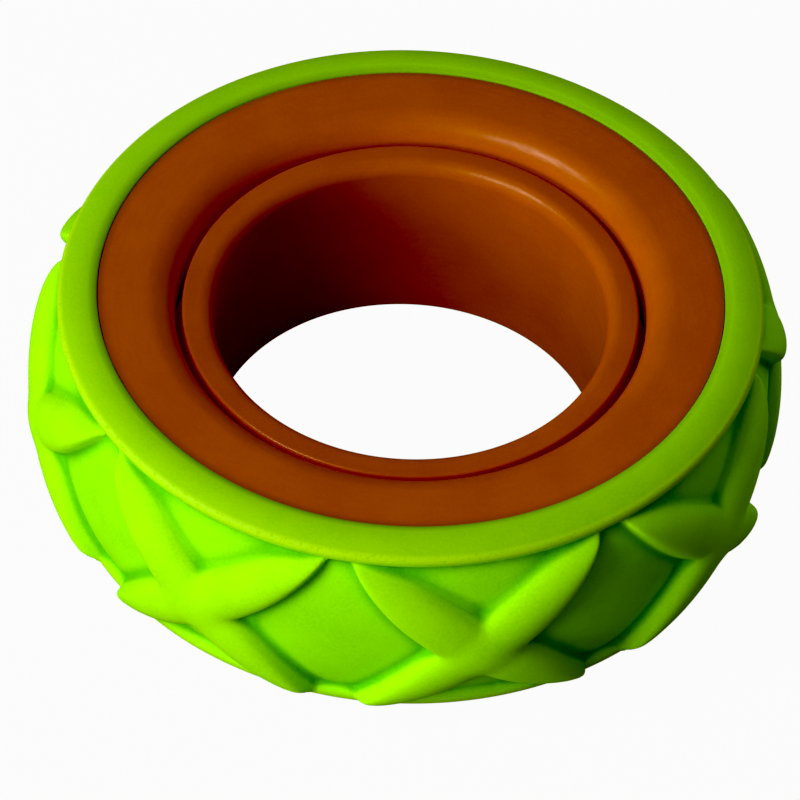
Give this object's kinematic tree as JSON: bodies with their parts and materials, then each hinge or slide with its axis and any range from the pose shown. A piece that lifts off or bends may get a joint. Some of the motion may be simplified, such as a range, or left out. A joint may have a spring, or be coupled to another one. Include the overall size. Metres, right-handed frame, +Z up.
{
  "type": "spinner ring",
  "caption": "Ring for a finger with a free-turning outer hub that carries a soft rubber tyre with raised crossing ribs.",
  "frame": {"origin": "on the surface the ring rests on, at the middle of the finger hole", "axes": "+Z up along the axis of the finger hole, which is also the axis the outside turns on; +X and +Y lie in the surface it rests on"},
  "size_m": [0.0356, 0.0356, 0.0108],
  "materials": {
    "orange_band_plastic": "satin orange-brown moulded plastic",
    "orange_hub_plastic": "satin orange-brown moulded plastic",
    "lime_rubber": "matte lime-green soft rubber"
  },
  "bodies": {
    "band": {"finger_band": "orange_band_plastic"},
    "spinner": {"hub_ring": "orange_hub_plastic", "tyre": "lime_rubber"}
  },
  "joints": [
    {"name": "spin", "type": "hinge", "parent": "band", "child": "spinner", "pos_m": [0, 0, 0.0054], "axis": [0, 0, 1], "continuous": true}
  ]
}
